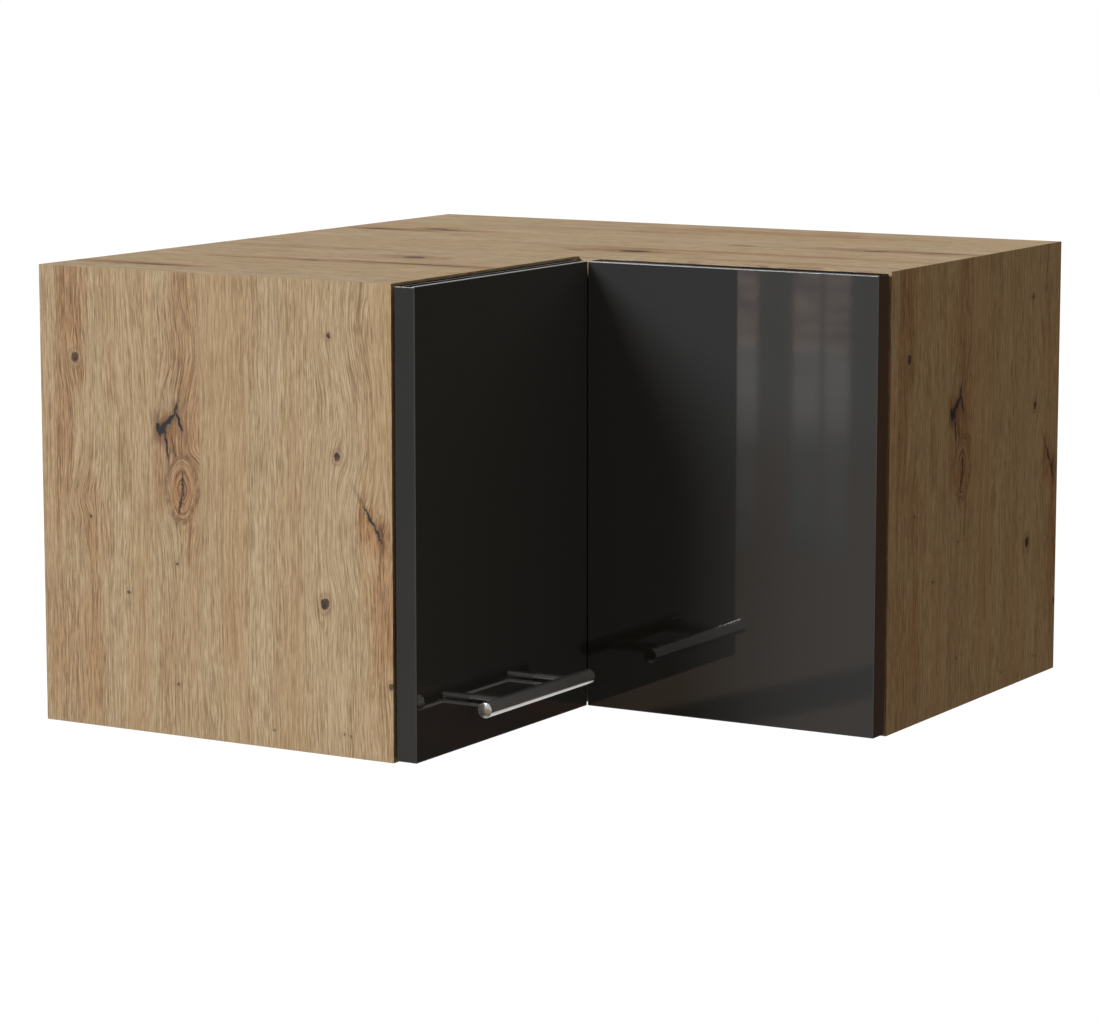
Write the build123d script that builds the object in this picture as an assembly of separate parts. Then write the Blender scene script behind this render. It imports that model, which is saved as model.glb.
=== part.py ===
from build123d import *
import os

# Corner wall cabinet: an L-shaped carcass hung on two walls, closed by a folding pair of
# door leaves. Millimetres. The origin is at the middle of the footprint, on the underside.
# +X runs along the wall of the right arm, -Y along the wall of the left arm, +Z is up.
# The two arms mirror each other in the diagonal plane through the room corner.

# ---- carcass -------------------------------------------------------------------------
arm_length = 600.0
arm_depth = 325.0
height = 360.0
board = 16.0

# ---- back panels ---------------------------------------------------------------------
back_thickness = 3.0
back_setback = 10.0
groove_depth = 7.0
groove_clearance = 0.2
groove_end_play = 0.5
strip_wall = 1.2
strip_grip = 12.0
strip_web_inset = 7.0

# ---- door leaves ---------------------------------------------------------------------
leaf_thickness = 18.0
leaf_to_carcass = 2.0
leaf_end_reveal = 1.0
leaf_corner_gap = 0.4
leaf_height_reveal = 1.5
leaf_edge_radius = 1.0
leaf_seam_radius = 0.3
bumper_radius = 4.0
bumper_play = 0.2
bumper_inset = 9.0
bumper_round = 0.8

# ---- bar handle ----------------------------------------------------------------------
bar_radius = 6.0
bar_length = 156.0
bar_hole_spacing = 96.0
bar_projection = 29.5
bar_height = 36.8
bar_end_round = 0.6
post_radius = 4.75
handle_screw_radius = 2.0
handle_screw_hole_play = 0.5
handle_screw_reach = 10.0
handle_screw_head_radius = 3.9
handle_screw_head_height = 2.4

# ---- cup hinges: the cup, its lever and the pins ---------------------------------------
hinge_inset = 75.0
cup_radius = 17.5
cup_depth = 12.0
cup_wall = 1.0
cup_edge_distance = 5.0
flange_thickness = 1.1
flange_rim = 1.0
flange_screw_offset = 9.5
flange_screw_half_spacing = 22.5
flange_tab_radius = 6.0
lever_half_width = 5.0
lever_thickness = 2.6
lever_rise = 4.0
lever_arm_eye = 2.8
lever_cup_eye = 2.6
lever_wedge_overreach = 1.2
pin_radius = 1.2
pin_play = 0.08
side_play = 0.5
cheek_thickness = 1.7
arm_eye_radius = 3.0
lug_half_length = 3.2
# Pivots, seen along the pin: distance in from the end of the leaf's own reveal line, and
# distance out from the plane of the carcass's front edges.
cup_pin_in = 12.5
cup_pin_out = 6.5
arm_pin_in = 34.0
arm_pin_out = 6.0

# ---- cup hinges: the arm and its mounting plate ----------------------------------------
web_thickness = 1.5
rail_height = 12.0
rail_half_width = 5.0
rail_length = 42.0
plate_thickness = 1.6
plate_half_length = 24.0
plate_half_width = 7.0
plate_screw_half_spacing = 16.0
plate_setback = 37.0
channel_height = 7.5
channel_overrun = 4.0
shoulder_run = 4.0
wing_rounding = 0.8
nose_drop = 4.0
fold_run_drop = 4.0
fold_run_height = 9.0
fold_plate_setback = 34.0
fold_nose_step = 3.0
fold_corner_cut = 6.0
fold_corner_cut_inside = 6.6

# ---- fasteners -----------------------------------------------------------------------
wood_screw_radius = 1.6
wood_screw_length = 11.0
wood_screw_head_radius = 3.3
wood_screw_head_height = 1.4
system_screw_radius = 2.9
system_screw_depth = 11.0
system_screw_head_radius = 4.2
system_screw_head_height = 1.6
adjuster_radius = 2.0
adjuster_head_radius = 3.4
adjuster_head_height = 1.8
adjuster_half_spacing = 12.0
adjuster_reach = 9.0
driver_slot_width = 1.0
driver_slot_depth = 0.7
driver_slot_reach = 1.3
screw_head_dome = 0.55
dowel_radius = 4.0
dowel_in_side = 11.0
dowel_in_shelf = 19.0
dowel_end_play = 0.6
dowel_chamfer = 0.8
cam_radius = 7.5
cam_height = 12.5
cam_clearance = 0.3
cam_slot_length = 9.0
cam_slot_width = 1.6
cam_slot_depth = 2.0
cam_from_end = 24.0
cam_bolt_radius = 2.5
cam_bolt_in_side = 10.0
cam_bolt_neck_radius = 1.8
cam_bolt_head_radius = 3.0
cam_bolt_head_height = 3.0
cam_bolt_collar_from_head = 8.0
cam_bolt_collar_length = 2.0
cam_head_play = 0.5
cam_bore_radius = 4.0
cam_from_front = 55.0
cam_from_back = 70.0
dowel_from_cam = 32.0

# ---- wall hangers --------------------------------------------------------------------
hanger_width = 17.0
hanger_depth = 30.0
hanger_height = 54.0
hanger_below_top = 4.0
hanger_wall = 1.6
hanger_corner_radius = 2.0
hook_thickness = 2.5
hook_half_width = 6.0
hook_drop = 13.0
hook_wall_gap = 1.0
hook_level = 22.0
hanger_peg_radius = 5.0
hanger_peg_length = 10.0
hanger_peg_half_spacing = 16.0
hanger_adjuster_radius = 3.0
hanger_adjuster_depth = 8.0
hanger_adjuster_half_spacing = 10.0
hanger_slot_length = 4.2
hanger_slot_width = 1.1
hanger_slot_depth = 1.5
back_notch_play = 3.0

# ---- positions that follow from the sizes above ----------------------------------------
half = arm_length / 2
front = arm_depth - half                      # plane of the left arm's front edges (X)
inner = half - board                          # inner faces of the two side panels
leaf_back = front + leaf_to_carcass
leaf_front = leaf_back + leaf_thickness
leaf_inner_end = leaf_front + leaf_corner_gap
leaf_outer_end = half - leaf_end_reveal
leaf_bottom = leaf_height_reveal
leaf_top = height - leaf_height_reveal
back_face = half - back_setback - back_thickness   # inner face of a back panel
handle_centre = -(leaf_inner_end + leaf_outer_end) / 2
hinge_levels = (leaf_bottom + hinge_inset, leaf_top - hinge_inset)
cup_centre = leaf_end_reveal + cup_edge_distance + cup_radius
cup_floor = leaf_to_carcass + cup_depth
flange_face = leaf_to_carcass - flange_thickness
lug_inner = lever_half_width + side_play
cheek_outer = lug_inner + cheek_thickness
flange_screws = [(cup_centre + flange_screw_offset, s * flange_screw_half_spacing) for s in (-1, 1)]

# The hinges are drawn in a frame of their own: first axis in from the hung edge, second
# axis out from the carcass's front plane, third axis up. Both kinds share it.
main_frames = [Location((half, -front, z), (0, 0, 180)) for z in hinge_levels]
fold_frames = [Location((front, -leaf_front, z), (0, 0, -90)) for z in hinge_levels]


def block(x0, x1, y0, y1, z0, z1):
    """A box between two opposite corners."""
    return Pos((x0 + x1) / 2, (y0 + y1) / 2, (z0 + z1) / 2) * Box(x1 - x0, y1 - y0, z1 - z0)


def rod(start, end, radius):
    """A round bar from one point to another."""
    a = Vector(*start)
    b = Vector(*end)
    plane = Plane(origin=a, z_dir=b - a)
    return extrude(plane * Circle(radius), (b - a).length)


def upright(outline, z0, z1):
    """A prism on a horizontal outline, from one level to another."""
    return extrude(Plane.XY.offset(z0) * make_face(Polyline(*outline, close=True)), z1 - z0)


def other_arm(shape):
    """The same piece on the other arm, mirrored in the diagonal plane."""
    return mirror(shape, about=Plane(origin=(0, 0, 0), z_dir=(1, 1, 0)))


def both_arms(shapes):
    return shapes + [other_arm(shape) for shape in shapes]


def screw(start, end, radius, head_radius, head_height):
    """A screw with a domed, cross-slotted head; its head seats at the start point."""
    a = Vector(*start)
    b = Vector(*end)
    plane = Plane(origin=a, z_dir=a - b)
    head = extrude(plane * Circle(head_radius), head_height)
    rim = head.edges().filter_by(GeomType.CIRCLE).sort_by(lambda e: (e.center() - a).length)[-1]
    head = fillet(rim, head_height * screw_head_dome)
    mark = plane.offset(head_height - driver_slot_depth)
    for turn in (0, 90):
        slot = mark * Rot(0, 0, turn) * Rectangle(head_radius * driver_slot_reach, driver_slot_width)
        head -= extrude(slot, head_height)
    return rod(start, end, radius) + head


# ---- carcass boards --------------------------------------------------------------------
def joint_rows():
    """Distance from the wall side for the cams and for the dowels beside them."""
    cams = (-half + cam_from_back, front - cam_from_front)
    dowels = (cams[0] + dowel_from_cam, cams[1] - dowel_from_cam)
    return cams, dowels


def shelf_levels():
    """Mid-thickness of the bottom and of the top panel, with the side their cams face."""
    return ((board / 2, 1), (height - board / 2, -1))


def joint_bores_in_side():
    cams, dowels = joint_rows()
    bores = []
    for z, _ in shelf_levels():
        for x in cams:
            bores.append(rod((x, -inner, z), (x, -inner - cam_bolt_in_side, z), cam_bolt_radius))
        for x in dowels:
            depth = dowel_in_side + dowel_end_play
            bores.append(rod((x, -inner, z), (x, -inner - depth, z), dowel_radius))
    return bores


def side_panel():
    """The left arm's end board, with its stopped back groove, joint and hanger bores."""
    panel = block(-half, front, -half, -inner, 0, height)
    rear = -back_face - back_thickness - groove_clearance
    z0 = board - groove_depth
    z1 = height - board + groove_depth
    panel -= block(rear, -back_face, -inner - groove_depth, -inner, z0, z1)
    for bore in joint_bores_in_side():
        panel -= bore
    for x, z in hanger_pegs():
        panel -= rod((x, -inner, z), (x, -inner - hanger_peg_length, z), hanger_peg_radius)
    return panel


def left_side_panel():
    return side_panel()


def right_side_panel():
    panel = other_arm(side_panel())
    for frame in main_frames:
        for s in (-1, 1):
            z = s * plate_screw_half_spacing
            start = (board, -plate_setback, z)
            end = (board - system_screw_depth, -plate_setback, z)
            panel -= frame * rod(start, end, system_screw_radius)
    return panel


def shelf_bores(z, side):
    """Bores in the left end of a horizontal board: dowels, cam bolts and cam housings."""
    cams, dowels = joint_rows()
    face = z + side * board / 2
    bores = []
    for x in cams:
        end = -inner + cam_from_end
        bores.append(rod((x, -inner, z), (x, end, z), cam_bore_radius))
        bores.append(rod((x, end, face), (x, end, face - side * cam_height), cam_radius))
    for x in dowels:
        depth = dowel_in_shelf + dowel_end_play
        bores.append(rod((x, -inner, z), (x, -inner + depth, z), dowel_radius))
    return bores


def shelf_board(z, side):
    """An L-shaped horizontal board between the side panels, grooved for the backs."""
    z0 = z - board / 2
    outline = [(-half, -inner), (front, -inner), (front, -front), (inner, -front),
               (inner, half), (-half, half)]
    panel = upright(outline, z0, z0 + board)
    face = z + side * board / 2
    z_low = min(face, face - side * groove_depth)
    rear = back_face + back_thickness + groove_clearance
    groove = block(-rear, -back_face, -inner, rear, z_low, z_low + groove_depth)
    for cut in both_arms([groove] + shelf_bores(z, side)):
        panel -= cut
    return panel


def bottom_panel():
    return shelf_board(*shelf_levels()[0])


def top_panel():
    return shelf_board(*shelf_levels()[1])


# ---- back panels ------------------------------------------------------------------------
def left_back_panel():
    """Thin board in the grooves, with a corner cut away for the hanger's hook."""
    z0 = board - groove_depth + groove_end_play
    z1 = height - board + groove_depth - groove_end_play
    y0 = -inner - groove_depth + groove_end_play
    y1 = back_face - strip_web_inset
    panel = block(-back_face - back_thickness, -back_face, y0, y1, z0, z1)
    x0 = -back_face - 2 * back_thickness
    x1 = -back_face + back_thickness
    y_cut = -inner + hanger_width + back_notch_play
    z_cut = hanger_floor() - back_notch_play
    panel -= block(x0, x1, y0 - board, y_cut, z_cut, height)
    return panel


def right_back_panel():
    return other_arm(left_back_panel())


def back_corner_strip():
    """Plastic profile that grips the free edges of both back panels in the room corner."""
    z0 = board
    z1 = height - board
    inside = -back_face + strip_wall
    outside = -back_face - back_thickness - strip_wall
    start = back_face - strip_web_inset - strip_grip
    web = back_face - strip_web_inset
    half_profile = block(outside, outside + strip_wall, start, -outside, z0, z1)
    half_profile += block(-back_face, inside, start, back_face, z0, z1)
    half_profile += block(-back_face - back_thickness, -back_face, web, web + strip_wall, z0, z1)
    return half_profile + other_arm(half_profile)


# ---- carcass joints -----------------------------------------------------------------------
def dowels():
    pieces = []
    for z, _ in shelf_levels():
        for x in joint_rows()[1]:
            start = (x, -inner - dowel_in_side, z)
            piece = rod(start, (x, -inner + dowel_in_shelf, z), dowel_radius)
            pieces.append(chamfer(piece.edges().filter_by(GeomType.CIRCLE), dowel_chamfer))
    return both_arms(pieces)


def cam_bolts():
    """Bolts screwed into the side panels; their heads sit in the cams."""
    pieces = []
    for z, _ in shelf_levels():
        for x in joint_rows()[0]:
            y_end = -inner + cam_from_end
            bolt = rod((x, -inner - cam_bolt_in_side, z), (x, -inner, z), cam_bolt_radius)
            bolt += rod((x, -inner, z), (x, y_end, z), cam_bolt_neck_radius)
            collar = y_end - cam_bolt_collar_from_head
            bolt += rod((x, collar, z), (x, collar - cam_bolt_collar_length, z), cam_bore_radius)
            reach = cam_bolt_head_height / 2
            bolt += rod((x, y_end - reach, z), (x, y_end + reach, z), cam_bolt_head_radius)
            pieces.append(bolt)
    return both_arms(pieces)


def cam_locks():
    """Round locks let into the boards, hollowed for the bolt head, cross-slotted on the face."""
    pieces = []
    for z, side in shelf_levels():
        face = z + side * board / 2
        for x in joint_rows()[0]:
            y = -inner + cam_from_end
            cam = rod((x, y, face), (x, y, face - side * cam_height), cam_radius)
            entry = y - cam_radius - cam_clearance
            cam -= rod((x, entry, z), (x, y, z), cam_bolt_neck_radius + cam_clearance)
            reach = cam_bolt_head_height / 2 + cam_head_play
            cam -= rod((x, y - reach, z), (x, y + reach, z), cam_bolt_head_radius + cam_clearance)
            for turn in (45, 135):
                slot = Box(cam_slot_length, cam_slot_width, 2 * cam_slot_depth)
                cam -= Pos(x, y, face) * Rot(0, 0, turn) * slot
            pieces.append(cam)
    return both_arms(pieces)


# ---- wall hangers -----------------------------------------------------------------------
def hanger_floor():
    return height - board - hanger_below_top - hanger_height


def hanger_pegs():
    """Centres of the pegs that hold a hanger to the left side panel, as X and Z."""
    x = -back_face + hanger_depth / 2
    z = hanger_floor() + hanger_height / 2
    return [(x, z + s * hanger_peg_half_spacing) for s in (-1, 1)]


def hanger_adjusters():
    """Centres of the two adjusting screws on a hanger's front, as Y and Z."""
    y = -inner + hanger_width / 2
    z = hanger_floor() + hanger_height / 2
    return [(y, z + s * hanger_adjuster_half_spacing) for s in (-1, 1)]


def hanger_housings():
    """Open-backed boxes pegged to the side panels, with an upright slot for the hook."""
    x0 = -back_face
    x1 = x0 + hanger_depth
    y0 = -inner
    y1 = y0 + hanger_width
    z0 = hanger_floor()
    z1 = z0 + hanger_height
    body = block(x0, x1, y0, y1, z0, z1)
    body = fillet(body.edges().filter_by(Axis.Z).sort_by(Axis.X)[-1], hanger_corner_radius)
    w = hanger_wall
    solid_front = x1 - w - hanger_adjuster_depth
    body -= block(x0, solid_front, y0 + w, y1 - w, z0 + w, z1 - w)
    for x, z in hanger_pegs():
        body += rod((x, y0, z), (x, y0 - hanger_peg_length, z), hanger_peg_radius)
    for y, z in hanger_adjusters():
        body -= rod((x1, y, z), (solid_front, y, z), hanger_adjuster_radius)
    return both_arms([body])


def hanger_hooks():
    """Steel hooks that reach through the cut in the back panel and drop behind a wall rail."""
    y = -inner + hanger_width / 2
    z = hanger_floor() + hanger_height - hook_level
    x1 = -back_face + hanger_depth - hanger_wall - hanger_adjuster_depth
    x0 = -half + hook_wall_gap
    hook = block(x0, x1, y - hook_half_width, y + hook_half_width, z, z + hook_thickness)
    hook += block(x0, x0 + hook_thickness, y - hook_half_width, y + hook_half_width,
                  z - hook_drop, z + hook_thickness)
    hook += block(x1 - hook_thickness, x1, y - hook_half_width, y + hook_half_width,
                  z - hook_drop, z + hook_thickness)
    return both_arms([hook])


def hanger_adjusting_screws():
    x1 = -back_face + hanger_depth
    x0 = x1 - hanger_wall - hanger_adjuster_depth
    pieces = []
    for y, z in hanger_adjusters():
        piece = rod((x1, y, z), (x0, y, z), hanger_adjuster_radius)
        slot = Box(2 * hanger_slot_depth, hanger_slot_length, hanger_slot_width)
        for turn in (0, 90):
            piece -= Pos(x1, y, z) * Rot(turn, 0, 0) * slot
        pieces.append(piece)
    return both_arms(pieces)


# ---- door leaves ------------------------------------------------------------------------
def leaf_blank():
    """The left leaf's board; its edges are rounded, the two at the seam only slightly."""
    leaf = block(leaf_back, leaf_front, -leaf_outer_end, -leaf_inner_end, leaf_bottom, leaf_top)
    seam = leaf.edges().filter_by(Axis.Z).group_by(Axis.Y)[-1]
    leaf = fillet(leaf.edges() - seam, leaf_edge_radius)
    seam = leaf.edges().filter_by(Axis.Z).group_by(Axis.Y)[-1]
    return fillet(seam, leaf_seam_radius)


def cup_bores():
    """What a hinge cup and its two screws take out of a leaf, in the hinge's own frame."""
    bores = rod((cup_centre, leaf_to_carcass, 0), (cup_centre, cup_floor, 0), cup_radius)
    for u, w in flange_screws:
        end = leaf_to_carcass + wood_screw_length
        bores += rod((u, leaf_to_carcass, w), (u, end, w), wood_screw_radius)
    return bores


def handle_posts_at():
    return [handle_centre + s * bar_hole_spacing / 2 for s in (-1, 1)]


def left_door_leaf():
    leaf = leaf_blank()
    for frame in fold_frames:
        leaf -= frame * cup_bores()
    for y in handle_posts_at():
        hole = handle_screw_radius + handle_screw_hole_play
        leaf -= rod((leaf_back, y, bar_height), (leaf_front, y, bar_height), hole)
    return leaf


def right_door_leaf():
    leaf = other_arm(leaf_blank())
    for frame in main_frames:
        leaf -= frame * cup_bores()
    for frame in fold_frames:
        for screw_start, screw_end in fold_plate_screw_lines():
            leaf -= frame * rod(screw_start, screw_end, system_screw_radius)
    return leaf


def left_door_bumpers():
    """Soft dots that meet the front edges of the top and bottom boards."""
    pieces = []
    for z in (board / 2, height - board / 2):
        y = -leaf_outer_end + bumper_inset + board
        dot = rod((leaf_back, y, z), (front + bumper_play, y, z), bumper_radius)
        pieces.append(fillet(dot.edges().sort_by(Axis.X)[0], bumper_round))
    return pieces


def right_door_bumpers():
    pieces = []
    for z in (board / 2, height - board / 2):
        x = leaf_inner_end + bumper_inset + board
        dot = rod((x, -leaf_back, z), (x, -front - bumper_play, z), bumper_radius)
        pieces.append(fillet(dot.edges().sort_by(Axis.Y)[-1], bumper_round))
    return pieces


# ---- bar handle ---------------------------------------------------------------------------
def bar_axis_at():
    return leaf_front + bar_projection


def handle_bar():
    x = bar_axis_at()
    y0 = handle_centre - bar_length / 2
    bar = rod((x, y0, bar_height), (x, y0 + bar_length, bar_height), bar_radius)
    return fillet(bar.edges().filter_by(GeomType.CIRCLE), bar_end_round)


def handle_posts():
    """Round posts, hollowed to sit on the bar and tapped for the screws."""
    x = bar_axis_at()
    y0 = handle_centre - bar_length
    y1 = handle_centre + bar_length
    seat = rod((x, y0, bar_height), (x, y1, bar_height), bar_radius)
    pieces = []
    for y in handle_posts_at():
        post = rod((leaf_front, y, bar_height), (x, y, bar_height), post_radius) - seat
        end = leaf_front + handle_screw_reach
        post -= rod((leaf_front, y, bar_height), (end, y, bar_height), handle_screw_radius)
        pieces.append(post)
    return pieces


def handle_screws():
    pieces = []
    for y in handle_posts_at():
        start = (leaf_back, y, bar_height)
        end = (leaf_front + handle_screw_reach, y, bar_height)
        pieces.append(screw(start, end, handle_screw_radius, handle_screw_head_radius,
                            handle_screw_head_height))
    return pieces


# ---- hinge pieces, in the hinge's own frame --------------------------------------------------
def hinge_cup():
    """Deep-drawn cup with a screwed flange and two lugs that carry the pin."""
    cup = rod((cup_centre, flange_face, 0), (cup_centre, cup_floor, 0), cup_radius)
    flange = Circle(cup_radius + flange_rim)
    for u, w in flange_screws:
        flange += Pos(u - cup_centre, -w) * Circle(flange_tab_radius)
    reach = flange_screw_half_spacing
    flange += Pos(flange_screw_offset, 0) * Rectangle(2 * flange_tab_radius, 2 * reach)
    plane = Plane(origin=(cup_centre, flange_face, 0), x_dir=(1, 0, 0), z_dir=(0, 1, 0))
    cup += extrude(plane * flange, flange_thickness)
    inside = cup_radius - cup_wall
    end = cup_floor - cup_wall
    hollow = rod((cup_centre, flange_face, 0), (cup_centre, end, 0), inside)
    for s in (-1, 1):
        w = sorted((s * lug_inner, s * cheek_outer))
        u0 = cup_centre - cup_radius
        lug = block(u0, cup_pin_in + lug_half_length, cup_pin_out - lug_half_length, end,
                    w[0], w[1])
        hollow -= lug
    cup -= hollow
    for u, w in flange_screws:
        cup -= rod((u, flange_face, w), (u, leaf_to_carcass, w), wood_screw_radius)
    return cup - hinge_pin(cup_pin_in, cup_pin_out)


def hinge_pin(u, v):
    return rod((u, v, -cheek_outer), (u, v, cheek_outer), pin_radius)


def cup_screws():
    pieces = []
    for u, w in flange_screws:
        end = (u, leaf_to_carcass + wood_screw_length, w)
        pieces.append(screw((u, flange_face, w), end, wood_screw_radius,
                            wood_screw_head_radius, wood_screw_head_height))
    return pieces


def hinge_lever():
    """Curved lever between the arm's pin and the cup's pin, bowed towards the cup's floor."""
    a = Vector(arm_pin_in, arm_pin_out)
    c = Vector(cup_pin_in, cup_pin_out)
    span = (c - a).length
    bow_radius = (span * span / 4 + lever_rise * lever_rise) / (2 * lever_rise)
    out = Vector(a.Y - c.Y, c.X - a.X) * (-1 / span)
    centre = (a + c) * 0.5 + out * (lever_rise - bow_radius)
    ring = Circle(bow_radius + lever_thickness / 2) - Circle(bow_radius - lever_thickness / 2)
    reach = bow_radius + lever_thickness
    fan = []
    for p in (a, c):
        ray = p - centre
        fan.append(ray * (reach / ray.length * lever_wedge_overreach))
    wedge = make_face(Polyline((0, 0), (fan[0].X, fan[0].Y), (fan[1].X, fan[1].Y), close=True))
    strap = Pos(centre.X, centre.Y) * (ring & wedge)
    strap += Pos(a.X, a.Y) * Circle(lever_arm_eye)
    strap += Pos(c.X, c.Y) * Circle(lever_cup_eye)
    for p in (a, c):
        strap -= Pos(p.X, p.Y) * Circle(pin_radius + pin_play)
    return extrude(Plane.XY.offset(-lever_half_width) * strap, 2 * lever_half_width)


def arm_from(outline, web_outline):
    """A channel-shaped arm: two cheeks on one outline, joined by a web."""
    eye = rod((arm_pin_in, arm_pin_out, -cheek_outer), (arm_pin_in, arm_pin_out, cheek_outer),
              arm_eye_radius)
    arm = upright(outline, -cheek_outer, cheek_outer) + eye
    arm -= block(-arm_length, arm_length, -arm_length, arm_length, -lug_inner, lug_inner)
    arm += upright(web_outline, -cheek_outer, cheek_outer)
    return arm - hinge_pin(arm_pin_in, arm_pin_out)


def main_arm():
    """Arm on the side panel: a channel over the plate's rail, with its nose in the cup."""
    top = board + rail_height + web_thickness
    low = top - channel_height
    back = -plate_setback - rail_length / 2 - channel_overrun
    shoulder = -plate_setback + rail_length / 2
    nose_in = arm_pin_in - arm_eye_radius
    nose_out = arm_pin_in + arm_eye_radius
    outline = [(low, back), (low, shoulder), (nose_in, -nose_drop), (nose_in, arm_pin_out),
               (nose_out, arm_pin_out), (nose_out, -2 * nose_drop), (top, shoulder - shoulder_run),
               (top, back)]
    web = [(top - web_thickness, back), (top - web_thickness, shoulder - shoulder_run),
           (nose_out - web_thickness, -2 * nose_drop), (nose_out - web_thickness, -nose_drop),
           (nose_out, -nose_drop), (nose_out, -2 * nose_drop), (top, shoulder - shoulder_run), (top, back)]
    arm = arm_from(outline, web)
    for start, _ in adjuster_lines(board, 1, -plate_setback):
        arm -= rod(start, (start[0] - 2 * web_thickness, start[1], 0), adjuster_radius)
    return arm


def mounting_plate(face, outward, middle):
    """Plate with two screwed wings and a rail that the arm's channel sits over."""
    top = face + outward * rail_height
    wing = face + outward * plate_thickness
    u_wing = sorted((face, wing))
    u_rail = sorted((face, top))
    plate = block(*u_wing, middle - plate_half_width, middle + plate_half_width,
                  -plate_half_length, plate_half_length)
    plate = fillet(plate.edges().filter_by(Axis.X), plate_half_width * wing_rounding)
    plate += block(*u_rail, middle - rail_length / 2, middle + rail_length / 2,
                   -rail_half_width, rail_half_width)
    for s in (-1, 1):
        w = s * plate_screw_half_spacing
        plate -= rod((face, middle, w), (wing, middle, w), system_screw_radius)
    for start, end in adjuster_lines(face, outward, middle):
        plate -= rod((top, start[1], 0), end, adjuster_radius)
    return plate


def plate_screw_lines(face, outward, middle):
    """Start under the head and end in the wood, for both screws of a mounting plate."""
    seat = face + outward * plate_thickness
    end = face - outward * system_screw_depth
    levels = [s * plate_screw_half_spacing for s in (-1, 1)]
    return [((seat, middle, w), (end, middle, w)) for w in levels]


def fold_plate_screw_lines():
    return plate_screw_lines(-leaf_thickness, -1, fold_plate_middle())


def adjuster_lines(face, outward, middle):
    """Start under the head and end in the rail, for an arm's two adjusting screws."""
    seat = face + outward * (rail_height + web_thickness)
    end = seat - outward * adjuster_reach
    places = [middle + s * adjuster_half_spacing for s in (-1, 1)]
    return [((seat, v, 0), (end, v, 0)) for v in places]


def plate_screws(lines):
    return [screw(start, end, system_screw_radius, system_screw_head_radius,
                  system_screw_head_height) for start, end in lines]


def adjusters(lines):
    return [screw(start, end, adjuster_radius, adjuster_head_radius, adjuster_head_height)
            for start, end in lines]


def fold_plate_middle():
    """How far out the folding hinge's plate sits, behind the right leaf's inner end."""
    return leaf_to_carcass + leaf_thickness + leaf_corner_gap + fold_plate_setback


def fold_arm():
    """Arm from the right leaf's back, round the inner corner, to the left leaf's cup."""
    face = -leaf_thickness
    top = face - rail_height - web_thickness
    low = top + channel_height
    back = fold_plate_middle() + rail_length / 2 + channel_overrun
    run_top = -fold_run_drop
    run_low = run_top - fold_run_height
    nose_in = arm_pin_in - arm_eye_radius
    nose_out = arm_pin_in + arm_eye_radius
    step = run_top - fold_nose_step
    cut = fold_corner_cut
    outline = [(top, back), (low, back), (low, run_top), (nose_in, run_top),
               (nose_in, arm_pin_out), (nose_out, arm_pin_out), (nose_out, step),
               (nose_out - cut, run_low), (top + cut, run_low), (top, run_low + cut)]
    t = web_thickness
    bend = fold_corner_cut_inside
    web = [(top, back), (top + t, back), (top + t, run_low + bend), (top + bend, run_low + t),
           (nose_out - bend, run_low + t), (nose_out - t, step), (nose_out - t, run_top),
           (nose_out, run_top), (nose_out, step), (nose_out - cut, run_low),
           (top + cut, run_low), (top, run_low + cut)]
    arm = arm_from(outline, web)
    for start, _ in adjuster_lines(face, -1, fold_plate_middle()):
        arm -= rod(start, (start[0] + 2 * web_thickness, start[1], 0), adjuster_radius)
    return arm


# ---- one file per node ------------------------------------------------------------------------
def at(frames, shapes):
    return [frame * shape for frame in frames for shape in shapes]


main_plate = (board, 1, -plate_setback)
fold_plate = (-leaf_thickness, -1, fold_plate_middle())

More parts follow.
